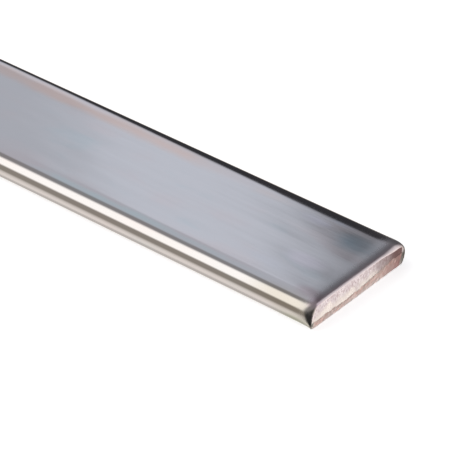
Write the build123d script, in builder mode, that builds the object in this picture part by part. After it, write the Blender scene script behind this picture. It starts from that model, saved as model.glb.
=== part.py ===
"""Tin-plated copper flat bar with rounded long edges and sheared ends.

The bar lies flat along X, with its underside on Z = 0 and its middle over the origin. Units are millimetres.
Its section has flat faces that turn over through full, rounded shoulders to sides with no flat of their own.
Each end was cut in a guillotine shear, which leaves four zones, from the top down: a rollover, where the blade
drew the upper face and the sides in, a rounded rim, a burnished land that is square to the bar, and a fracture
that slants back under the land.
"""

from build123d import *

import os

# Stock
bar_length = 1000.0
bar_width = 25.0
bar_thickness = 5.0
edge_reach = 3.5  # how far each rounded edge reaches into the faces
edge_fullness = 0.69  # the shoulder's handles as a share of its reach, where 0.55 gives an ellipse

# Rollover at each cut
rollover_length = 2.4
rollover_drop = 0.2
rollover_inset = 0.15
rollover_power = 2.5
rollover_stations = 6
cut_upper_reach = 3.8
cut_lower_reach = 3.0
cut_belly_drop = 0.2  # how far the widest point sinks at the cut

# Cut face
rim_radius = 0.4
fracture_height = 2.1
fracture_setback = 0.5

half_length = bar_length / 2
rollover_start = half_length - rollover_length


def blend(start_value, end_value, share):
    """Return the value that lies the given share of the way from start to end."""
    return start_value + (end_value - start_value) * share


def shoulder(face_height, belly_height, half_width, reach):
    """Draw one rounded quarter of the section, from the flat face out to the widest point."""
    inner = half_width - reach
    Bezier(
        (inner, face_height),
        (inner + edge_fullness * reach, face_height),
        (half_width, blend(belly_height, face_height, edge_fullness)),
        (half_width, belly_height),
    )


def bar_section(width, height, belly_height, lower_reach, upper_reach):
    """Return one section: flat faces joined by rounded sides that are widest at belly_height."""
    half_width = width / 2
    with BuildSketch() as section:
        with BuildLine():
            Line((0, 0), (half_width - lower_reach, 0))
            shoulder(0, belly_height, half_width, lower_reach)
            shoulder(height, belly_height, half_width, upper_reach)
            Line((half_width - upper_reach, height), (0, height))
            mirror(about=Plane.YZ)
        make_face()
    return section.sketch


def rolled_section(distance_share):
    """Return the section at a share of the way along the rollover, 0 where it starts and 1 at the cut."""
    pull = distance_share**rollover_power
    return bar_section(
        width=bar_width - 2 * rollover_inset * pull,
        height=bar_thickness - rollover_drop * pull,
        belly_height=bar_thickness / 2 - cut_belly_drop * pull,
        lower_reach=blend(edge_reach, cut_lower_reach, pull),
        upper_reach=blend(edge_reach, cut_upper_reach, pull),
    )


with BuildPart() as flat_bar:
    # Straight stock from one rollover to the other
    with BuildSketch(Plane.YZ.offset(-rollover_start)):
        add(rolled_section(0))
    extrude(amount=2 * rollover_start)

    # Rollover drawn in by the blade, lofted at the first end
    for station in range(rollover_stations):
        distance_share = station / (rollover_stations - 1)
        with BuildSketch(Plane.YZ.offset(rollover_start + rollover_length * distance_share)):
            add(rolled_section(distance_share))
    loft()

    # Rim where the rollover turns into the burnished land
    fillet(flat_bar.faces().sort_by(Axis.X)[-1].edges(), radius=rim_radius)

    # Fracture, slanting back under the land and taking the rim off the underside
    with BuildSketch(Plane.XZ):
        with BuildLine():
            Polyline(
                (half_length, fracture_height),
                (half_length + fracture_setback, fracture_height),
                (half_length + fracture_setback, 0),
                (half_length - fracture_setback, 0),
                close=True,
            )
        make_face()
    extrude(amount=bar_width, both=True, mode=Mode.SUBTRACT)

    # The other end was cut the same way
    split(bisect_by=Plane.YZ)
    mirror(about=Plane.YZ)

flat_bar.part.label = "flat_bar"
os.makedirs("parts", exist_ok=True)
export_step(flat_bar.part, "parts/flat_bar.step")
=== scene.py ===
"""Tin-plated copper flat bar with guillotine-sheared ends, on a pale studio floor.

The bar lies along X with its underside on the floor. Its near side is the one at -Y and its far side the one
at +Y, and its stains and patches of painted light and shade are beside the cut at +X. Sizes are in metres,
and the small ones are written as multiples of MM.
"""

import logging
import math
from dataclasses import dataclass, field
from enum import Enum
from typing import Callable

import bpy
import numpy as np
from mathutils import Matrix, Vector


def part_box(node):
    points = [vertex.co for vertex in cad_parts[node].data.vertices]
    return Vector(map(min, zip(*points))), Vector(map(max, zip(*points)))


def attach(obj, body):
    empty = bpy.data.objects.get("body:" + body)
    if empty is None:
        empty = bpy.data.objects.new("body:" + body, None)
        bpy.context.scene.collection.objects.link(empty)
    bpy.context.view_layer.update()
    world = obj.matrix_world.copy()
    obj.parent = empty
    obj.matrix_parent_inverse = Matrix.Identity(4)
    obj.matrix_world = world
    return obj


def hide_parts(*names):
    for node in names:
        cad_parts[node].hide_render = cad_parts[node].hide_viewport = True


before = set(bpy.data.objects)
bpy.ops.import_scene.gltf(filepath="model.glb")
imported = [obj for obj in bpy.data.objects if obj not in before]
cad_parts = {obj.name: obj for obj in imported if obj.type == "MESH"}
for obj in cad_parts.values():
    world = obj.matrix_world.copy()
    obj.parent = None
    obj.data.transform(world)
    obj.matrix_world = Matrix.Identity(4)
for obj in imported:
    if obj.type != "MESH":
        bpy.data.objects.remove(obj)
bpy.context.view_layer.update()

Socket = bpy.types.NodeSocket
Colour = tuple[float, float, float]
Place = tuple[float, float, float]
Span = tuple[float, float]
# A fade holds where it starts, where it stops, and its values there.
Fade = tuple[float, float, float, float]

MM = 0.001
TOLERANCE = 0.01 * MM
WHITE: Colour = (1.0, 1.0, 1.0)
# The slow drift of the fine lines mostly stays between these two values.
DRIFT_RANGE: Span = (0.3, 0.7)
NODE_NAME = "flat_bar"

log = logging.getLogger("flat_bar")


class Zone(Enum):
    """The finishes of the bar, in the order of its material slots."""

    TIN = 0
    LAND = 1
    FRACTURE = 2


class End(Enum):
    """The two ends of the bar, by the sign of X."""

    PLUS_X = 1
    MINUS_X = -1


# ---------------------------------------------------------------------------------------------------------
# Mesh tools
# ---------------------------------------------------------------------------------------------------------


def make_active(obj: bpy.types.Object) -> None:
    """Select one object alone and make it the active one."""
    bpy.ops.object.select_all(action="DESELECT")
    obj.select_set(True)
    bpy.context.view_layer.objects.active = obj


def mesh_points(mesh: bpy.types.Mesh) -> np.ndarray:
    """Return a mesh's points, one a row."""
    points = np.empty(len(mesh.vertices) * 3)
    mesh.vertices.foreach_get("co", points)
    return points.reshape(-1, 3)


class Editing:
    """Edit mode on one object, with selections made in code by place."""

    def __init__(self, obj: bpy.types.Object) -> None:
        """Keep the object that will be edited."""
        self.obj = obj

    def __enter__(self) -> "Editing":
        """Enter edit mode with nothing selected."""
        make_active(self.obj)
        bpy.ops.object.mode_set(mode="EDIT")
        bpy.ops.mesh.select_all(action="DESELECT")
        return self

    def __exit__(self, *_: object) -> None:
        """Leave edit mode."""
        bpy.ops.object.mode_set(mode="OBJECT")

    def select_points(self, test: Callable[[np.ndarray], np.ndarray]) -> None:
        """Select the vertices that pass a test, with the edges and faces between them.

        Args:
            test: Takes an array of points, one a row, and returns one truth value for each.
        """
        bpy.ops.mesh.select_mode(type="VERT")
        bpy.ops.mesh.select_all(action="DESELECT")
        bpy.ops.object.mode_set(mode="OBJECT")
        mesh = self.obj.data
        mesh.vertices.foreach_set("select", test(mesh_points(mesh)))
        bpy.ops.object.mode_set(mode="EDIT")
        bpy.ops.mesh.select_mode(type="VERT")

    def select_edges(self, test: Callable[[np.ndarray, np.ndarray], np.ndarray]) -> None:
        """Select the edges that pass a test.

        Args:
            test: Takes the edges' first points and their second points, and returns one truth value for
                each edge.
        """
        bpy.ops.mesh.select_mode(type="EDGE")
        bpy.ops.mesh.select_all(action="DESELECT")
        bpy.ops.object.mode_set(mode="OBJECT")
        mesh = self.obj.data
        points = mesh_points(mesh)
        pairs = np.empty(len(mesh.edges) * 2, dtype=np.int32)
        mesh.edges.foreach_get("vertices", pairs)
        pairs = pairs.reshape(-1, 2)
        mesh.edges.foreach_set("select", test(points[pairs[:, 0]], points[pairs[:, 1]]))
        bpy.ops.object.mode_set(mode="EDIT")
        bpy.ops.mesh.select_mode(type="EDGE")


def apply_modifier(obj: bpy.types.Object, kind: str, **settings: object) -> None:
    """Add a modifier, set it up and apply it.

    Args:
        obj: The object that takes the modifier.
        kind: The modifier's type.
        settings: Values for the modifier's properties.
    """
    make_active(obj)
    modifier = obj.modifiers.new(kind.lower(), kind)
    for name, value in settings.items():
        setattr(modifier, name, value)
    bpy.ops.object.modifier_apply(modifier=modifier.name)


def apply_place(obj: bpy.types.Object) -> None:
    """Move an object's place, turn and scale into its mesh."""
    make_active(obj)
    bpy.ops.object.transform_apply(location=True, rotation=True, scale=True)


def weigh_points(obj: bpy.types.Object, name: str, weights: np.ndarray) -> None:
    """Store weights for an object's points.

    Args:
        obj: The object.
        name: The name of the vertex group that is made.
        weights: One weight for each point. Points with no weight stay out of the group.
    """
    group = obj.vertex_groups.new(name=name)
    for index, weight in enumerate(weights):
        if weight > 0:
            group.add([index], float(weight), "REPLACE")


def cloud_texture(name: str, grain: float, depth: int) -> bpy.types.Texture:
    """Make a cloud pattern that displaces points.

    Args:
        name: The pattern's name.
        grain: The size of its clouds.
        depth: How many finer layers it has.

    Returns:
        The texture.
    """
    texture = bpy.data.textures.new(name, "CLOUDS")
    texture.noise_scale = grain
    texture.noise_depth = depth
    return texture


# ---------------------------------------------------------------------------------------------------------
# Node tools
# ---------------------------------------------------------------------------------------------------------


class NodeKit:
    """Adds nodes to one tree and wires them."""

    def __init__(self, tree: bpy.types.NodeTree) -> None:
        """Keep the tree."""
        self.tree = tree

    def fill(self, node: bpy.types.Node, inputs: dict) -> None:
        """Link or set a node's inputs.

        Args:
            node: The node.
            inputs: Values or sockets for its inputs, by name or number.
        """
        for name, value in inputs.items():
            if isinstance(value, bpy.types.NodeSocket):
                self.tree.links.new(value, node.inputs[name])
            else:
                node.inputs[name].default_value = value

    def add(self, kind: str, inputs: dict | None = None, **settings: object) -> bpy.types.Node:
        """Add one node.

        Args:
            kind: The node's type, without its ShaderNode prefix.
            inputs: Values or sockets for the node's inputs, by name or number.
            settings: Values for the node's properties.

        Returns:
            The new node.
        """
        node = self.tree.nodes.new("ShaderNode" + kind)
        for name, value in settings.items():
            setattr(node, name, value)
        self.fill(node, inputs or {})
        return node

    def group(self, tree: bpy.types.NodeTree, inputs: dict, label: str = "") -> bpy.types.Node:
        """Place a node group with its own input values.

        Args:
            tree: The group's tree.
            inputs: Values or sockets for the group's inputs, by name.
            label: What this use of the group is for.

        Returns:
            The group node.
        """
        node = self.tree.nodes.new("ShaderNodeGroup")
        node.node_tree = tree
        node.label = label
        self.fill(node, inputs)
        return node

    def math(self, operation: str, *values: Socket | float, clamp: bool = False) -> Socket:
        """Add a Math node and return its output."""
        inputs = dict(enumerate(values))
        return self.add("Math", inputs, operation=operation, use_clamp=clamp).outputs[0]

    def vector(self, operation: str, first: Socket, second: Socket | Place) -> Socket:
        """Add a Vector Math node on two vectors and return the vector that it gives."""
        return self.add("VectorMath", {0: first, 1: second}, operation=operation).outputs[0]

    def ramp(self, value: Socket, start: Socket | float, stop: Socket | float,
             low: float = 0.0, high: float = 1.0) -> Socket:
        """Carry a value smoothly from low at start to high at stop, and return the output."""
        inputs = {"Value": value, "From Min": start, "From Max": stop, "To Min": low, "To Max": high}
        return self.add("MapRange", inputs, interpolation_type="SMOOTHSTEP").outputs["Result"]

    def mix(self, mask: Socket | float, below: Socket | tuple, above: Socket | tuple) -> Socket:
        """Mix two colours by a mask and return the output."""
        node = self.add("Mix", {0: mask, 6: below, 7: above}, data_type="RGBA")
        return node.outputs[2]


def rgba(colour: Colour) -> tuple[float, float, float, float]:
    """Return a colour with full alpha."""
    return (*colour, 1.0)


def new_group(name: str, inputs: dict[str, str],
              outputs: dict[str, str]) -> tuple[NodeKit, dict[str, Socket], bpy.types.Node]:
    """Start a shader node group.

    Args:
        name: The group's name.
        inputs: Its input sockets' types, by name.
        outputs: Its output sockets' types, by name.

    Returns:
        A kit for the tree, the input sockets by name, and the output node.
    """
    tree = bpy.data.node_groups.new(name, "ShaderNodeTree")
    for label, kind in inputs.items():
        tree.interface.new_socket(label, in_out="INPUT", socket_type=kind)
    for label, kind in outputs.items():
        tree.interface.new_socket(label, in_out="OUTPUT", socket_type=kind)
    entry = tree.nodes.new("NodeGroupInput")
    leave = tree.nodes.new("NodeGroupOutput")
    sockets = {label: entry.outputs[label] for label in inputs}
    return NodeKit(tree), sockets, leave


def drawn_lines_group() -> bpy.types.NodeTree:
    """Build the group for fine lines that run one way, such as draw marks and drag marks.

    Returns:
        The group's tree. Its input Point is in line widths across and line lengths along, and its outputs
        are a fine height and a slow drift, both from 0 to 1.
    """
    fine_roughness = 0.6
    drift_detail = 3.0
    drift_stretch = (0.31, 0.17, 0.17)
    kit, given, leave = new_group(
        "drawn_lines", {"Point": "NodeSocketVector", "Detail": "NodeSocketFloat"},
        {"Height": "NodeSocketFloat", "Drift": "NodeSocketFloat"})
    point = given["Point"]
    fine = kit.add("TexNoise", {"Vector": point, "Scale": 1.0, "Detail": given["Detail"],
                                "Roughness": fine_roughness})
    shifted = kit.vector("MULTIPLY", point, drift_stretch)
    slow = kit.add("TexNoise", {"Vector": shifted, "Scale": 1.0, "Detail": drift_detail})
    kit.fill(leave, {"Height": fine.outputs["Fac"], "Drift": slow.outputs["Fac"]})
    return kit.tree


def soft_spot_group() -> bpy.types.NodeTree:
    """Build the group for one soft spot.

    Returns:
        The group's tree. Its output is 1 in the middle of the spot and 0 outside, and Wander moves the
        spot's outline, in half sizes of the spot as its outer and inner reach are.
    """
    outer, inner = 1.25, 0.15
    kit, given, leave = new_group(
        "soft_spot", {"Point": "NodeSocketVector", "Centre": "NodeSocketVector", "Size": "NodeSocketVector",
                      "Wander": "NodeSocketFloat"}, {"Mask": "NodeSocketFloat"})
    away = kit.vector("SUBTRACT", given["Point"], given["Centre"])
    away = kit.vector("DIVIDE", away, given["Size"])
    reach = kit.add("VectorMath", {0: away}, operation="LENGTH").outputs["Value"]
    reach = kit.math("ADD", reach, given["Wander"])
    kit.fill(leave, {"Mask": kit.ramp(reach, outer, inner)})
    return kit.tree


# ---------------------------------------------------------------------------------------------------------
# Finishes
# ---------------------------------------------------------------------------------------------------------


@dataclass(frozen=True)
class SoftSpot:
    """A soft-edged spot on the bar, by its middle and half sizes in millimetres."""

    name: str
    centre: Place
    size: Place

    def mask(self, kit: NodeKit, group: bpy.types.NodeTree, place: Socket, wander: Socket) -> Socket:
        """Mask the spot.

        Args:
            group: The group for one soft spot.
            place: The point on the bar.
            wander: How far the spot's outline moves in or out there, in half sizes.

        Returns:
            The mask, 1 in the middle of the spot and 0 outside.
        """
        centre = tuple(value * MM for value in self.centre)
        size = tuple(value * MM for value in self.size)
        inputs = {"Point": place, "Centre": centre, "Size": size, "Wander": wander}
        return kit.group(group, inputs, self.name).outputs["Mask"]


@dataclass(frozen=True)
class StainOrPaintedLight(SoftSpot):
    """A soft spot where the tin has another colour: a stain, or a patch of painted light or shade."""

    colour: Colour
    share: float = 1.0


@dataclass(frozen=True)
class DrawMarks:
    """The marks that drawing leaves at one scale, longer along the bar than they are wide."""

    length: float
    width: float
    depth: float
    detail: float


@dataclass(frozen=True)
class TinPlateFinish:
    """Bright tin over drawn copper: draw marks, slow warm and cool tints, stains, patches of painted light
    and shade, and thin plate at the rim.

    The edge, warm and cool fades say where the tints come in, the rim fade warms the plate at the cut's rim,
    and the end fade dulls it towards the cut. The bloom is a dull spot at the far corner.
    """

    colour: Colour = (0.79, 0.795, 0.80)
    warm_colour: Colour = (0.83, 0.74, 0.73)
    cool_colour: Colour = (0.66, 0.77, 0.79)
    rim_colour: Colour = (0.90, 0.80, 0.80)
    edge_fade: Fade = (7.5 * MM, 11.5 * MM, 0.0, 0.3)
    warm_fade: Fade = (0.52, 0.70, 0.0, 0.35)
    cool_fade: Fade = (0.46, 0.30, 0.0, 0.45)
    rim_fade: Fade = (499.3 * MM, 499.75 * MM, 0.0, 0.9)
    end_fade: Fade = (496.0 * MM, 499.2 * MM, 0.0, 0.21)
    roughness: float = 0.085
    roughness_spread: float = 0.02
    marks: tuple[DrawMarks, ...] = (
        DrawMarks(length=15 * MM, width=6 * MM, depth=0.045 * MM, detail=1.0),
        DrawMarks(length=4.5 * MM, width=0.7 * MM, depth=0.0018 * MM, detail=3.0),
        DrawMarks(length=6 * MM, width=0.13 * MM, depth=0.00045 * MM, detail=3.0),
    )
    tint_length: float = 16 * MM
    tint_width: float = 6 * MM
    tint_detail: float = 4.0
    spot_wander: float = 1.0
    bloom: SoftSpot = SoftSpot("bloom", (500.0, 12.0, 4.5), (11.0, 3.6, 3.0))
    bloom_loss: float = 0.07
    bloom_roughness: float = 0.12
    # Stains, and patches of painted light and shade, each mixed into the tin's colour.
    stains_and_painted_light: tuple[StainOrPaintedLight, ...] = (
        StainOrPaintedLight("blue_blotch", (493.6, 5.5, 5.0), (5.0, 3.0, 2.0), (0.51, 0.61, 0.66)),
        # Painted highlight: this pale patch lifts the tin's colour where the reflected room is too dark.
        StainOrPaintedLight("painted_highlight_patch", (486.5, 7.2, 5.0), (3.8, 1.4, 2.0), (0.92, 0.915, 0.97)),
        StainOrPaintedLight("near_plum_patch", (497.5, -9.2, 5.0), (3.0, 1.6, 1.2), (0.68, 0.61, 0.62)),
        StainOrPaintedLight("near_grey_streak", (485.5, -6.6, 5.0), (7.0, 1.8, 2.0), (0.77, 0.78, 0.80)),
        # Painted highlight: this pale streak lifts the tin's colour where the reflected room is too dark.
        StainOrPaintedLight("middle_painted_highlight", (491.5, -2.5, 5.0), (4.0, 1.8, 2.0), (0.91, 0.89, 0.93)),
        # Painted highlight: this pale streak lifts the tin's colour where the reflected room is too dark.
        StainOrPaintedLight("far_painted_highlight", (489.5, 9.0, 5.0), (3.6, 1.2, 2.0), (0.84, 0.86, 0.91)),
        StainOrPaintedLight("far_warm_streak", (435.0, 8.4, 5.0), (42.0, 1.8, 2.0), (0.86, 0.71, 0.64)),
        StainOrPaintedLight("near_green_streak", (460.0, -10.3, 5.0), (30.0, 0.9, 2.0), (0.72, 0.86, 0.86), 0.7),
        # Painted shade: this tan patch darkens the near shoulder where the reflected room is too light.
        StainOrPaintedLight("near_shoulder_shade", (496.0, -11.8, 3.9), (9.0, 2.6, 1.5), (0.70, 0.655, 0.595)),
        # Painted shade: this dull green-grey patch darkens the lower near side beside the cut.
        StainOrPaintedLight("near_side_painted_shade", (497.5, -12.5, 1.2), (5.0, 3.0, 1.8), (0.60, 0.62, 0.52)),
        StainOrPaintedLight("near_rim_plum", (499.3, -10.4, 4.5), (1.3, 1.5, 0.9), (0.66, 0.54, 0.59)),
        # Darker patches on the far side and the far rim beside the cut.
        StainOrPaintedLight("far_side_dark_patch", (500.0, 12.6, 2.2), (1.6, 2.3, 5.0), (0.27, 0.255, 0.215)),
        StainOrPaintedLight("far_rim_dark_patch", (500.3, 11.0, 4.2), (0.45, 3.6, 1.2), (0.50, 0.43, 0.42)),
    )

    def build(self, lines: bpy.types.NodeTree, spot: bpy.types.NodeTree) -> bpy.types.Material:
        """Build the material.

        Args:
            lines: The group for fine lines.
            spot: The group for one soft spot.

        Returns:
            The material.
        """
        material = bpy.data.materials.new("tin_plate")
        material.use_nodes = True
        kit = NodeKit(material.node_tree)
        shader = material.node_tree.nodes["Principled BSDF"]
        place = kit.add("TexCoord").outputs["Object"]
        split = kit.add("SeparateXYZ", {0: place})
        along = kit.math("ABSOLUTE", split.outputs[0])
        across = kit.math("ABSOLUTE", split.outputs[1])
        spread = (1 / self.tint_length, 1 / self.tint_width, 1 / self.tint_width)
        tint_point = kit.vector("MULTIPLY", place, spread)
        tint_noise = {"Vector": tint_point, "Scale": 1.0, "Detail": self.tint_detail}
        tint = kit.add("TexNoise", tint_noise).outputs["Fac"]
        normal, drift = self.emboss(kit, lines, place)

        edge = kit.ramp(across, *self.edge_fade)
        warm = kit.math("ADD", kit.ramp(tint, *self.warm_fade), edge, clamp=True)
        colour = kit.mix(warm, rgba(self.colour), rgba(self.warm_colour))
        colour = kit.mix(kit.ramp(tint, *self.cool_fade), colour, rgba(self.cool_colour))
        colour = kit.mix(kit.ramp(along, *self.rim_fade), colour, rgba(self.rim_colour))
        wander = kit.math("MULTIPLY_ADD", tint, 2 * self.spot_wander, -self.spot_wander)
        # Stains, and patches of painted light and shade, are mixed into the tin's colour here.
        for tint_spot in self.stains_and_painted_light:
            mask = kit.math("MULTIPLY", tint_spot.mask(kit, spot, place, wander), tint_spot.share)
            colour = kit.mix(mask, colour, rgba(tint_spot.colour))

        bloom = self.bloom.mask(kit, spot, place, wander)
        low, high = self.roughness - self.roughness_spread, self.roughness + self.roughness_spread
        rough = kit.math("ADD", kit.ramp(drift, *DRIFT_RANGE, low, high), kit.ramp(along, *self.end_fade))
        rough = kit.math("MULTIPLY_ADD", bloom, self.bloom_roughness, rough)
        metal = kit.math("SUBTRACT", 1.0, kit.math("MULTIPLY", bloom, self.bloom_loss))
        kit.fill(shader, {"Base Color": colour, "Roughness": rough, "Metallic": metal, "Normal": normal})
        return material

    def emboss(self, kit: NodeKit, lines: bpy.types.NodeTree, place: Socket) -> tuple[Socket, Socket]:
        """Lay the draw marks of every scale over each other.

        Args:
            lines: The group for fine lines.
            place: The point on the bar.

        Returns:
            The normal of the marked surface, and the slow drift of the last marks.
        """
        normal = None
        for marks in self.marks:
            stretch = (1 / marks.length, 1 / marks.width, 1 / marks.width)
            point = kit.vector("MULTIPLY", place, stretch)
            drawn = kit.group(lines, {"Point": point, "Detail": marks.detail})
            inputs = {"Height": drawn.outputs["Height"], "Distance": marks.depth, "Strength": 1.0}
            if normal is not None:
                inputs["Normal"] = normal
            normal = kit.add("Bump", inputs).outputs["Normal"]
        return normal, drawn.outputs["Drift"]


@dataclass(frozen=True)
class CutCopperFinish:
    """Bare copper at the cut, with tin dragged over it by the blade.

    The low fade, by height, brings in the colour of the lower edge, and the far-side fade, by place across
    the bar, darkens the far side.
    """

    name: str
    colour: Colour
    smear_colour: Colour
    low_colour: Colour
    low_fade: Fade
    far_side_colour: Colour
    far_side_fade: Fade
    roughness: float
    mark_width: float
    mark_length: float
    mark_depth: float
    mark_detail: float = 4.0
    smear_fade: Fade = (0.35, 0.65, 0.0, 1.0)
    wander: float = 2 * MM
    roughness_spread: float = 0.06

    def build(self, lines: bpy.types.NodeTree) -> bpy.types.Material:
        """Build the material.

        Args:
            lines: The group for fine lines.

        Returns:
            The material.
        """
        material = bpy.data.materials.new(self.name)
        material.use_nodes = True
        kit = NodeKit(material.node_tree)
        shader = material.node_tree.nodes["Principled BSDF"]
        place = kit.add("TexCoord").outputs["Object"]
        split = kit.add("SeparateXYZ", {0: place})
        stretch = (1 / self.mark_width, 1 / self.mark_width, 1 / self.mark_length)
        point = kit.vector("MULTIPLY", place, stretch)
        marks = kit.group(lines, {"Point": point, "Detail": self.mark_detail})
        height, drift = marks.outputs["Height"], marks.outputs["Drift"]
        bump = kit.add("Bump", {"Height": height, "Distance": self.mark_depth, "Strength": 1.0})

        wander = kit.math("MULTIPLY_ADD", drift, 2 * self.wander, -self.wander)
        across = kit.math("ADD", split.outputs[1], wander)
        up = kit.math("ADD", split.outputs[2], wander)
        smear = kit.ramp(height, *self.smear_fade)
        colour = kit.mix(smear, rgba(self.colour), rgba(self.smear_colour))
        colour = kit.mix(kit.ramp(up, *self.low_fade), colour, rgba(self.low_colour))
        # Darker towards the far side.
        colour = kit.mix(kit.ramp(across, *self.far_side_fade), colour, rgba(self.far_side_colour))
        low, high = self.roughness - self.roughness_spread, self.roughness + self.roughness_spread
        rough = kit.ramp(drift, *DRIFT_RANGE, low, high)
        kit.fill(shader, {"Base Color": colour, "Roughness": rough, "Metallic": 1.0,
                          "Normal": bump.outputs["Normal"]})
        return material


LAND_FINISH = CutCopperFinish(
    name="burnished_copper", colour=(0.89, 0.83, 0.84), smear_colour=(0.62, 0.52, 0.53),
    low_colour=(0.93, 0.87, 0.81), low_fade=(3.5 * MM, 2.2 * MM, 0.0, 1.0),
    far_side_colour=(0.18, 0.10, 0.095), far_side_fade=(1.5 * MM, 11.0 * MM, 0.0, 1.0),
    roughness=0.28, mark_width=0.38 * MM, mark_length=0.55 * MM, mark_depth=0.012 * MM)
FRACTURE_FINISH = CutCopperFinish(
    name="fractured_copper", colour=(1.0, 0.86, 0.80), smear_colour=(0.96, 0.66, 0.60),
    low_colour=(1.0, 0.85, 0.81), low_fade=(1.2 * MM, 0.2 * MM, 0.0, 1.0),
    far_side_colour=(0.46, 0.26, 0.245), far_side_fade=(4.5 * MM, 12.0 * MM, 0.0, 0.9),
    roughness=0.45, mark_width=0.6 * MM, mark_length=0.4 * MM, mark_depth=0.02 * MM)


# ---------------------------------------------------------------------------------------------------------
# The bar
# ---------------------------------------------------------------------------------------------------------


@dataclass
class ShearCut:
    """The cut that a guillotine shear leaves: a burnished land over a torn fracture that slants back.

    The bar is cut with a block whose inner side has this shape. Trim is how far the land stands inside the
    end of the stock, and step is the ledge between land and fracture. The fracture's upper line rises by
    fracture_rise between the two rise_places across the bar. The face is rolled back a little at each side.
    Within near_land_width of the near side the fracture is burnished as the land is, and within
    far_tin_width of the far side the face is plated.
    """

    plane: float
    height: float
    width: float
    end: End
    materials: list[bpy.types.Material]
    fracture_height: float = 1.6 * MM
    fracture_setback: float = 0.38 * MM
    fracture_rise: float = 1.1 * MM
    rise_places: Span = (0.0 * MM, 9.0 * MM)
    rise_reach: float = 1.9 * MM
    trim: float = 0.015 * MM
    step: float = 0.03 * MM
    margin: float = 0.6 * MM
    block_depth: float = 2.0 * MM
    cell: float = 0.125 * MM
    ragged: float = 0.65 * MM
    ragged_reach: float = 0.9 * MM
    ragged_grain: float = 1.1 * MM
    ragged_layers: int = 3
    ragged_level: float = 0.5
    tear: float = 0.16 * MM
    tear_fade: float = 0.25 * MM
    tear_grain: float = 0.45 * MM
    tear_layers: int = 2
    tear_level: float = 0.6
    far_roll: float = 0.05 * MM
    far_roll_width: float = 1.0 * MM
    far_tin_width: float = 1.2 * MM
    near_roll: float = 0.08 * MM
    near_roll_width: float = 0.6 * MM
    near_land_width: float = 1.3 * MM

    def build(self) -> bpy.types.Object:
        """Build the cutting block, whose inner side is the shape of the cut.

        Returns:
            The block, placed at its end of the bar.
        """
        block = self.lay_sheet()
        self.slant_fracture(block)
        self.roll_side(block, -1, self.near_roll_width, self.near_roll)
        self.roll_side(block, 1, self.far_roll_width, self.far_roll)
        for face in block.data.polygons:
            if face.center.y > self.width / 2 - self.far_tin_width:
                face.material_index = Zone.TIN.value
        self.roughen(block)
        with Editing(block):
            bpy.ops.mesh.select_all(action="SELECT")
            bpy.ops.mesh.extrude_region_move(
                TRANSFORM_OT_translate={"value": (self.block_depth, 0, 0)})
            bpy.ops.mesh.select_all(action="SELECT")
            bpy.ops.mesh.normals_make_consistent(inside=False)
        if self.end is End.MINUS_X:
            block.rotation_euler = (0, 0, math.pi)
            apply_place(block)
        return block

    def lay_sheet(self) -> bpy.types.Object:
        """Lay a flat sheet of small cells over the end of the bar at +X.

        Returns:
            The sheet, with the bar's materials.
        """
        across = self.width + 2 * self.margin
        up = self.height + 2 * self.margin
        bpy.ops.mesh.primitive_grid_add(
            x_subdivisions=round(across / self.cell), y_subdivisions=round(up / self.cell), size=1,
            location=(self.plane - self.trim, 0, self.height / 2),
            rotation=(math.radians(90), 0, math.radians(90)))
        sheet = bpy.context.object
        sheet.name = "shear_cut_" + self.end.name.lower()
        sheet.scale = (across, up, 1)
        apply_place(sheet)
        for material in self.materials:
            sheet.data.materials.append(material)
        return sheet

    def slant_fracture(self, sheet: bpy.types.Object) -> None:
        """Set the fracture back by a small step, give it its own finish and slant it.

        Args:
            sheet: The flat sheet.
        """
        line = self.fracture_height
        tilt = math.atan2(self.fracture_setback, self.fracture_height)
        with Editing(sheet) as edit:
            edit.select_points(lambda p: p[:, 2] < line)
            bpy.ops.transform.translate(value=(-self.step, 0, 0))
        for face in sheet.data.polygons:
            torn = face.center.z < line and face.center.y > self.near_land_width - self.width / 2
            face.material_index = Zone.FRACTURE.value if torn else Zone.LAND.value
        with Editing(sheet) as edit:
            edit.select_points(lambda p: p[:, 2] < line)
            bpy.ops.transform.rotate(
                value=-tilt, orient_axis="Y", center_override=(self.plane, 0, line))

    def roll_side(self, sheet: bpy.types.Object, side: int, width: float, depth: float) -> None:
        """Roll the face back beside one of its sides.

        Args:
            sheet: The sheet.
            side: The side, by the sign of Y.
            width: How wide the rolled strip is.
            depth: How far back the face is at the bar's side.
        """
        steps = round(width / self.cell)
        start = self.width / 2 - width
        shift = depth / (steps * (steps + 1) / 2)
        with Editing(sheet) as edit:
            for count in range(steps):
                edit.select_points(lambda p: side * p[:, 1] > start + count * self.cell)
                bpy.ops.transform.translate(value=(-shift * (count + 1), 0, 0))

    def roughen(self, sheet: bpy.types.Object) -> None:
        """Make the fracture's upper line ragged, tear the fracture, and raise the line towards the far side.

        Args:
            sheet: The sheet.
        """
        sides, heights = mesh_points(sheet.data)[:, 1:].T
        line = self.fracture_height
        near_line = np.clip(1 - np.abs(heights - line) / self.ragged_reach, 0, 1)
        below = np.clip((line - heights) / self.tear_fade, 0, 1)
        rising = np.clip(1 - np.abs(heights - line) / self.rise_reach, 0, 1)
        weigh_points(sheet, "near_line", near_line)
        weigh_points(sheet, "below", below)
        weigh_points(sheet, "rising", rising * np.interp(sides, self.rise_places, (0, 1)))
        wander = cloud_texture("wander", self.ragged_grain, self.ragged_layers)
        torn = cloud_texture("torn", self.tear_grain, self.tear_layers)
        apply_modifier(sheet, "DISPLACE", texture=wander, texture_coords="LOCAL", direction="Z",
                       strength=self.ragged, mid_level=self.ragged_level, vertex_group="near_line")
        apply_modifier(sheet, "DISPLACE", texture=torn, texture_coords="LOCAL", direction="X",
                       strength=self.tear, mid_level=self.tear_level, vertex_group="below")
        apply_modifier(sheet, "DISPLACE", direction="Z", strength=self.fracture_rise, mid_level=0.0,
                       vertex_group="rising")


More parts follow.
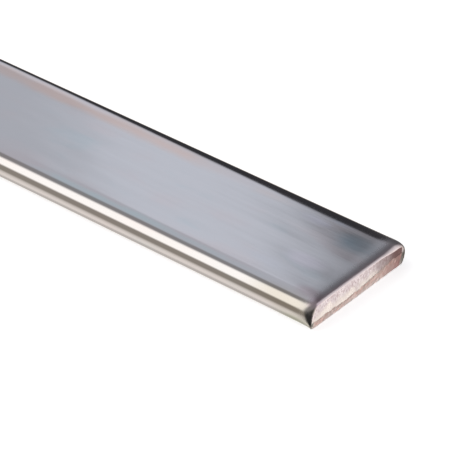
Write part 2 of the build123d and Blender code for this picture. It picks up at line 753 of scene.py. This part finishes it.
@dataclass(frozen=True)
class DrawnSide:
    """The shape that one side of the bar has at the cut, where the blade draws it in and down.

    Belly_drop is how far the widest place sinks, and the two reaches are how far in from the side the rounded
    edges run above and below it. Inset is how far the side moves in, and lean is how much further its top
    does, spread over lean_heights. All that is complete at full_share of the rollover. Shoulder_drop is how
    far the middle of the shoulder sinks by the cut.
    """

    side: int
    belly_drop: float
    upper_reach: float
    lower_reach: float
    shoulder_drop: float
    full_share: float = 1.0
    inset: float = 0.0
    lean: float = 0.0
    lean_heights: Span = (1.8 * MM, 3.6 * MM)


@dataclass
class FlatBar:
    """The bar itself: flat faces, rounded long edges and two sheared ends.

    The rollover is the stretch at each end where the blade drew the upper face and the sides in. The powers
    say how late that comes: the higher, the nearer the cut. Its stations are the sections that are shaped
    one by one, and none stands within rim_room of the end but the end itself, so the rim has room to be
    rounded. Shoulder_place is the middle of a shoulder, across and up, and shoulder_spread is how far from
    it the droop reaches.
    """

    low: Vector
    high: Vector
    edge_reach: float = 3.5 * MM
    edge_fullness: float = 0.574
    edge_segments: int = 24
    support_gap: float = 0.2 * MM
    shoulder_lines: tuple[float, ...] = (6.4 * MM, 6.9 * MM, 7.4 * MM, 7.9 * MM, 8.4 * MM)
    rollover_length: float = 2.4 * MM
    rollover_drop: float = 0.38 * MM
    rollover_power: float = 4.0
    rollover_stations: int = 18
    side_power: float = 3.5
    drawn_sides: tuple[DrawnSide, ...] = (
        DrawnSide(side=-1, belly_drop=0.8 * MM, upper_reach=1.5 * MM, lower_reach=0.7 * MM,
                  shoulder_drop=0.05 * MM, inset=0.5 * MM, lean=0.5 * MM),
        DrawnSide(side=1, belly_drop=0.8 * MM, upper_reach=3.0 * MM, lower_reach=0.7 * MM,
                  shoulder_drop=0.45 * MM, full_share=0.84),
    )
    lean_levels: int = 12
    shoulder_place: Span = (9.6 * MM, 4.8 * MM)
    shoulder_spread: float = 3.1 * MM
    shoulder_power: float = 8.0
    shoulder_levels: int = 20
    least_drop: float = 0.0002 * MM
    rim_radius: float = 0.34 * MM
    rim_room: float = 0.38 * MM
    rim_segments: int = 6
    rim_profile: float = 0.5
    smooth_angle: float = math.radians(32)
    materials: list[bpy.types.Material] = field(default_factory=list)

    @property
    def length(self) -> float:
        """Return the bar's length."""
        return self.high.x - self.low.x

    @property
    def width(self) -> float:
        """Return the bar's width."""
        return self.high.y - self.low.y

    @property
    def height(self) -> float:
        """Return the bar's thickness."""
        return self.high.z - self.low.z

    @property
    def half(self) -> float:
        """Return the X of the end at +X."""
        return self.length / 2

    def build(self) -> bpy.types.Object:
        """Build the bar in the order in which the real one is made: rolled, drawn in by the shear, and cut.

        Returns:
            The finished bar.
        """
        bar = self.roll_stock()
        self.draw_in_ends(bar)
        self.round_rims(bar)
        for material in self.materials:
            bar.data.materials.append(material)
        for end in End:
            self.cut_end(bar, end)
        make_active(bar)
        bpy.ops.object.shade_smooth_by_angle(angle=self.smooth_angle)
        return bar

    def roll_stock(self) -> bpy.types.Object:
        """Make the straight stock, with its long edges rounded over the full height.

        Returns:
            The stock as one closed mesh, with lines along it that hold the shoulders' shape.
        """
        stretch = self.edge_reach / (self.height / 2)
        bpy.ops.mesh.primitive_cube_add(size=1, location=(0, 0, self.height / 2))
        bar = bpy.context.object
        bar.name = "flat_bar_stock"
        bar.data.name = "flat_bar_stock"
        bar.scale = (self.length, self.width / stretch, self.height)
        apply_place(bar)
        with Editing(bar) as edit:
            edit.select_edges(lambda a, b: np.abs(a[:, 0] - b[:, 0]) > self.half)
            bpy.ops.mesh.bevel(
                offset=self.height / 2, segments=self.edge_segments, profile=self.edge_fullness,
                affect="EDGES", clamp_overlap=True)
            bpy.ops.mesh.select_all(action="SELECT")
            bpy.ops.mesh.remove_doubles(threshold=TOLERANCE)
            bpy.ops.transform.resize(value=(1, stretch, 1), center_override=(0, 0, 0))
            flat = self.width / 2 - self.edge_reach - self.support_gap
            lines = (*self.shoulder_lines, flat)
            for place in (*(-line for line in lines), *lines):
                bpy.ops.mesh.select_all(action="SELECT")
                bpy.ops.mesh.bisect(plane_co=(0, place, 0), plane_no=(0, 1, 0))
        return bar

    def draw_in_ends(self, bar: bpy.types.Object) -> None:
        """Draw in the upper face and the sides beside each cut, as the blade does.

        Args:
            bar: The straight stock.
        """
        last = 1 - self.rim_room / self.rollover_length
        shares = [last * station / self.rollover_stations for station in range(self.rollover_stations + 1)]
        places = {sign * (self.half - self.rollover_length * (1 - share)): share
                  for share in (*shares, 1.0) for sign in (-1, 1)}
        with Editing(bar) as edit:
            for x, share in places.items():
                if share < 1:
                    bpy.ops.mesh.select_all(action="SELECT")
                    bpy.ops.mesh.bisect(plane_co=(x, 0, 0), plane_no=(1, 0, 0))
            for x, share in places.items():
                for drawn in self.drawn_sides:
                    self.draw_in_side(edit, x, share, drawn)
                for drawn in self.drawn_sides:
                    self.drop_shoulder(edit, x, share, drawn)

    def on_edge(self, points: np.ndarray, x: float, side: int) -> np.ndarray:
        """Say which points of one section lie on a side's rounded edges.

        Args:
            points: The points, one a row.
            x: The section's place along the bar.
            side: The side, by the sign of Y.

        Returns:
            One truth value for each point.
        """
        start = self.width / 2 - self.edge_reach - TOLERANCE
        return (np.abs(points[:, 0] - x) < TOLERANCE) & (side * points[:, 1] > start)

    def draw_in_side(self, edit: Editing, x: float, share: float, drawn: DrawnSide) -> None:
        """Shape one side of the section at one station of the rollover.

        Args:
            edit: The editing session on the bar.
            x: The station's place along the bar.
            share: How far along the rollover it is, 0 where that starts and 1 at the cut.
            drawn: The side's shape at the cut.
        """
        side = drawn.side
        middle = self.height / 2
        top = self.height - self.rollover_drop * share ** self.rollover_power
        pull = min(1.0, share / drawn.full_share) ** self.side_power
        belly = middle - drawn.belly_drop * pull
        for half, face, reach in ((1, top, drawn.upper_reach), (-1, 0.0, drawn.lower_reach)):
            edit.select_points(lambda p: (np.abs(p[:, 0] - x) < TOLERANCE) & (side * p[:, 1] > 0)
                               & (half * (p[:, 2] - middle) > TOLERANCE))
            bpy.ops.transform.resize(value=(1, 1, abs(face - belly) / middle), center_override=(x, 0, middle))
            edit.select_points(lambda p: self.on_edge(p, x, side) & (half * (p[:, 2] - middle) > TOLERANCE))
            spread = 1 + (reach / self.edge_reach - 1) * pull
            bpy.ops.transform.resize(value=(1, spread, 1), center_override=(x, side * self.width / 2, 0))
        edit.select_points(lambda p: (np.abs(p[:, 0] - x) < TOLERANCE) & (side * p[:, 1] > 0))
        bpy.ops.transform.translate(value=(0, 0, belly - middle))
        edit.select_points(lambda p: self.on_edge(p, x, side))
        bpy.ops.transform.translate(value=(0, -side * drawn.inset * pull, 0))
        low, high = drawn.lean_heights
        for level in range(self.lean_levels if drawn.lean else 0):
            height = low + (high - low) * (level + 0.5) / self.lean_levels
            edit.select_points(lambda p: self.on_edge(p, x, side) & (p[:, 2] > height))
            bpy.ops.transform.translate(value=(0, -side * drawn.lean * pull / self.lean_levels, 0))

    def drop_shoulder(self, edit: Editing, x: float, share: float, drawn: DrawnSide) -> None:
        """Let one shoulder droop at one station, most at the shoulder's middle.

        Args:
            edit: The editing session on the bar.
            x: The station's place along the bar.
            share: How far along the rollover the station is.
            drawn: The side's shape at the cut.
        """
        middle_y, middle_z = self.shoulder_place
        drop = drawn.shoulder_drop * share ** self.shoulder_power / self.shoulder_levels
        for level in range(self.shoulder_levels if drop > self.least_drop else 0):
            reach = self.shoulder_spread * (1 - level / self.shoulder_levels)
            edit.select_points(lambda p: (np.abs(p[:, 0] - x) < TOLERANCE)
                               & (np.hypot(drawn.side * p[:, 1] - middle_y, p[:, 2] - middle_z) < reach))
            bpy.ops.transform.translate(value=(0, 0, -drop))

    def round_rims(self, bar: bpy.types.Object) -> None:
        """Round the rim at each cut.

        Args:
            bar: The stock with its ends drawn in.
        """
        with Editing(bar) as edit:
            edit.select_edges(lambda a, b: (np.abs(np.abs(a[:, 0]) - self.half) < TOLERANCE)
                              & (np.abs(np.abs(b[:, 0]) - self.half) < TOLERANCE))
            bpy.ops.mesh.bevel(
                offset=self.rim_radius, segments=self.rim_segments, profile=self.rim_profile,
                affect="EDGES", clamp_overlap=False)

    def cut_end(self, bar: bpy.types.Object, end: End) -> None:
        """Cut one end with its shear block.

        Args:
            bar: The bar with rounded rims.
            end: Which end is cut.
        """
        block = ShearCut(self.half, self.height, self.width, end, self.materials).build()
        apply_modifier(bar, "BOOLEAN", object=block, operation="DIFFERENCE", solver="MANIFOLD")
        bpy.data.objects.remove(block)


# ---------------------------------------------------------------------------------------------------------
# The studio
# ---------------------------------------------------------------------------------------------------------


@dataclass(frozen=True)
class Panel:
    """A soft-edged patch of the studio that the metal reflects. Angles are in degrees.

    Azimuth runs from +Y towards -X.
    """

    name: str
    azimuth: Span
    elevation: Span
    colour: Colour
    softness: Span = (4.0, 4.0)


@dataclass
class Studio:
    """The pale floor, the soft room that the metal reflects, the lamp and the camera."""

    camera_azimuth: float = 39.77
    camera_elevation: float = 34.72
    camera_place: Place = (0.7249, -0.3013, 0.2728)
    camera_clip: Span = (0.01, 100.0)
    lens: float = 225.87
    lamp_place: Place = (-0.3, -0.9, 1.8)
    lamp_size: Span = (2.4, 1.6)
    lamp_energy: float = 6.0
    floor_size: float = 30.0
    floor_colour: Colour = (0.86, 0.86, 0.86)
    floor_glow: float = 0.70
    upper_colour: Colour = (0.262, 0.256, 0.264)
    lower_colour: Colour = (0.86, 0.80, 0.75)
    horizon: Span = (-3.0, 3.0)
    panels: tuple[Panel, ...] = (
        Panel("back_wall", (-20, 60), (-12, 62), (0.035, 0.035, 0.04), (6.0, 8.0)),
        Panel("upper_wall", (-42, 60), (36, 62), (0.125, 0.112, 0.13), (6.0, 3.0)),
        Panel("wall_sheen", (30, 60), (34, 62), (0.235, 0.235, 0.26), (5.5, 2.0)),
        Panel("diffuser_edge", (37.4, 56), (14, 68), (0.475, 0.485, 0.54), (1.1, 8.0)),
        Panel("diffuser", (46, 68), (14, 68), (0.475, 0.485, 0.54), (6.0, 8.0)),
        Panel("diffuser_glow", (38.6, 43.2), (16, 37.6), (0.62, 0.635, 0.71), (1.3, 1.2)),
        Panel("front_softbox", (105, 166), (0, 72), (1.24, 1.21, 1.17), (13.0, 6.0)),
        Panel("front_gap", (110, 190), (-29, 14), (0.30, 0.27, 0.235), (8.0, 9.0)),
        Panel("floor_shade", (70, 130), (-70, -46), (0.56, 0.53, 0.50), (14.0, 5.0)),
        Panel("far_floor", (-33, 30), (-80, -12), (0.13, 0.13, 0.115), (5.0, 5.0)),
        Panel("camera_shade", (179, 285), (-70, -10), (0.02, 0.02, 0.02), (8.0, 6.0)),
        Panel("camera_gap", (179, 262), (-22, 14), (0.02, 0.02, 0.02), (8.0, 6.0)),
        Panel("cut_fill", (-82, -34), (-74, -14), (1.29, 1.21, 1.20), (4.0, 8.0)),
        Panel("side_softbox", (-75, -40), (-5, 55), (0.84, 0.83, 0.86), (4.0, 6.0)),
    )

    def build(self) -> None:
        """Build the whole studio."""
        bpy.context.scene.view_settings.view_transform = "Standard"
        self.build_floor()
        self.build_room()
        self.build_lamp()
        self.build_camera()

    def build_floor(self) -> None:
        """Lay the floor, which keeps the bar's shadow and reads white to the camera.

        The metal doesn't mirror it: the lower half of the room stands in for it there.
        """
        bpy.ops.mesh.primitive_plane_add(size=self.floor_size, location=(0, 0, 0))
        floor = bpy.context.object
        floor.name = "floor"
        floor.visible_glossy = False
        material = bpy.data.materials.new("floor")
        material.use_nodes = True
        material.node_tree.nodes.clear()
        kit = NodeKit(material.node_tree)
        lit = kit.add("BsdfDiffuse", {"Color": rgba(self.floor_colour)})
        glow = kit.add("Emission", {"Color": rgba(WHITE), "Strength": self.floor_glow})
        both = kit.add("AddShader", {0: lit.outputs[0], 1: glow.outputs[0]})
        camera_ray = kit.add("LightPath").outputs["Is Camera Ray"]
        seen = kit.add("MixShader", {0: camera_ray, 1: lit.outputs[0], 2: both.outputs[0]})
        kit.add("OutputMaterial", {"Surface": seen.outputs[0]})
        floor.data.materials.append(material)

    def build_room(self) -> None:
        """Build the room as soft patches by direction, and plain white for the camera."""
        world = bpy.data.worlds.new("studio")
        bpy.context.scene.world = world
        world.use_nodes = True
        world.node_tree.nodes.clear()
        kit = NodeKit(world.node_tree)
        patch = self.patch_group()
        direction = kit.add("TexCoord").outputs["Generated"]
        split = kit.add("SeparateXYZ", {0: direction})
        azimuth = kit.math("ARCTAN2", kit.math("MULTIPLY", split.outputs[0], -1.0), split.outputs[1])
        elevation = kit.math("ARCSINE", split.outputs[2])
        above = kit.ramp(elevation, *(math.radians(angle) for angle in self.horizon))
        colour = kit.mix(above, rgba(self.lower_colour), rgba(self.upper_colour))
        for panel in self.panels:
            inputs = {"Azimuth": azimuth, "Elevation": elevation}
            spans = {"Azimuth": panel.azimuth, "Elevation": panel.elevation}
            for (axis, (low, high)), soft in zip(spans.items(), panel.softness):
                inputs["Centre " + axis] = math.radians((low + high) / 2)
                inputs["Half " + axis] = math.radians((high - low) / 2)
                inputs["Soft " + axis] = math.radians(soft)
            mask = kit.group(patch, inputs, panel.name).outputs["Mask"]
            colour = kit.mix(mask, colour, rgba(panel.colour))
        camera_ray = kit.add("LightPath").outputs["Is Camera Ray"]
        seen = kit.mix(camera_ray, colour, rgba(WHITE))
        back = kit.add("Background", {"Color": seen, "Strength": 1.0})
        kit.add("OutputWorld", {"Surface": back.outputs[0]})

    def patch_group(self) -> bpy.types.NodeTree:
        """Build the group that masks one soft-edged patch of the room.

        Returns:
            The group's tree.
        """
        names = [prefix + axis for axis in ("Azimuth", "Elevation")
                 for prefix in ("", "Centre ", "Half ", "Soft ")]
        kit, given, leave = new_group("soft_patch", {name: "NodeSocketFloat" for name in names},
                                      {"Mask": "NodeSocketFloat"})
        masks = []
        for axis in ("Azimuth", "Elevation"):
            away = kit.math("SUBTRACT", given[axis], given["Centre " + axis])
            away = kit.math("ABSOLUTE", kit.math("WRAP", away, math.pi, -math.pi))
            inner = kit.math("SUBTRACT", given["Half " + axis], given["Soft " + axis])
            outer = kit.math("ADD", given["Half " + axis], given["Soft " + axis])
            masks.append(kit.ramp(away, inner, outer, 1.0, 0.0))
        kit.fill(leave, {"Mask": kit.math("MULTIPLY", *masks)})
        return kit.tree

    def build_lamp(self) -> None:
        """Hang the large soft lamp that gives the floor its shadow, and aim it at the middle of the bar."""
        bpy.ops.object.light_add(type="AREA", location=self.lamp_place)
        lamp = bpy.context.object
        lamp.name = "soft_lamp"
        lamp.data.shape = "RECTANGLE"
        lamp.data.size, lamp.data.size_y = self.lamp_size
        lamp.data.energy = self.lamp_energy
        lamp.rotation_euler = (-lamp.location).to_track_quat("-Z", "Y").to_euler()
        lamp.visible_glossy = False

    def build_camera(self) -> None:
        """Set the camera."""
        bpy.ops.object.camera_add(
            location=self.camera_place,
            rotation=(math.radians(90 - self.camera_elevation), 0, math.radians(self.camera_azimuth)))
        camera = bpy.context.object
        camera.name = "camera"
        camera.data.lens = self.lens
        camera.data.clip_start, camera.data.clip_end = self.camera_clip
        bpy.context.scene.camera = camera


def main() -> None:
    """Build the bar and the studio."""
    logging.basicConfig(level=logging.INFO, format="%(name)s: %(message)s")
    lines = drawn_lines_group()
    materials = [TinPlateFinish().build(lines, soft_spot_group()),
                 LAND_FINISH.build(lines),
                 FRACTURE_FINISH.build(lines)]
    low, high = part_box(NODE_NAME)
    bar = FlatBar(low, high, materials=materials).build()
    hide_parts(NODE_NAME)
    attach(bar, "root")
    log.info("%s has %d faces", bar.name, len(bar.data.polygons))
    Studio().build()
    log.info("studio is set")


if __name__ == "__main__":
    main()
